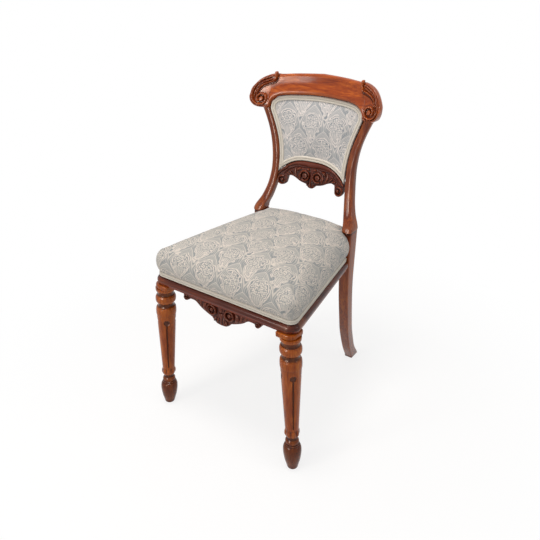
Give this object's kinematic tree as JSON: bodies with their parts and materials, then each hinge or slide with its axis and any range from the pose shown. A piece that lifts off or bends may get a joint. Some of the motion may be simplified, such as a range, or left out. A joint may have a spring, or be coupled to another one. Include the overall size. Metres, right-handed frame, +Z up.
{
  "type": "upholstered side chair",
  "caption": "Side chair with turned front legs, swept rear legs, a stuffed seat and a waisted, upholstered back under a scrolled crest rail.",
  "frame": {"origin": "on the floor, under the middle of the bounding box", "axes": "+Z up; the front of the chair faces -Y; +X is to the right of someone looking along +Y"},
  "size_m": [0.4694, 0.5582, 0.882],
  "materials": {
    "polished": "french polished, semi-gloss",
    "legs": "french polished, semi-gloss",
    "carved": "polished carving, darker in its hollows",
    "beech": "bare frame wood",
    "steel": "plain wood screws",
    "damask": "woven damask, matt",
    "braid": "double cord braid",
    "hessian": "plain hessian",
    "webbing": "jute webbing",
    "stuffing": "hair and felt"
  },
  "bodies": {
    "root": {"front_seat_rail": "polished", "rear_seat_rail": "beech", "crest_rail": "polished", "carved_cross_rail": "carved", "carved_apron": "carved", "front_leg_left": "legs", "rear_leg_left": "polished", "side_seat_rail_left": "polished", "apron_glue_block_left": "beech", "front_corner_block_left": "beech", "rear_corner_block_left": "beech", "front_leg_right": "legs", "rear_leg_right": "polished", "side_seat_rail_right": "polished", "apron_glue_block_right": "beech", "front_corner_block_right": "beech", "rear_corner_block_right": "beech", "front_block_screw_left_inner": "steel", "front_block_screw_left_outer": "steel", "front_block_screw_right_inner": "steel", "front_block_screw_right_outer": "steel", "rear_block_screw_left_inner": "steel", "rear_block_screw_left_outer": "steel", "rear_block_screw_right_inner": "steel", "rear_block_screw_right_outer": "steel", "long_web_1": "webbing", "long_web_2": "webbing", "long_web_3": "webbing", "cross_web_1": "webbing", "cross_web_2": "webbing", "cross_web_3": "webbing", "seat_hessian": "hessian", "seat_stuffing": "stuffing", "seat_cover": "damask", "seat_gimp": "braid", "back_hessian": "hessian", "back_stuffing": "stuffing", "back_cover": "damask", "back_gimp": "braid", "outside_back_cover": "damask", "outside_back_gimp": "braid"}
  },
  "joints": []
}
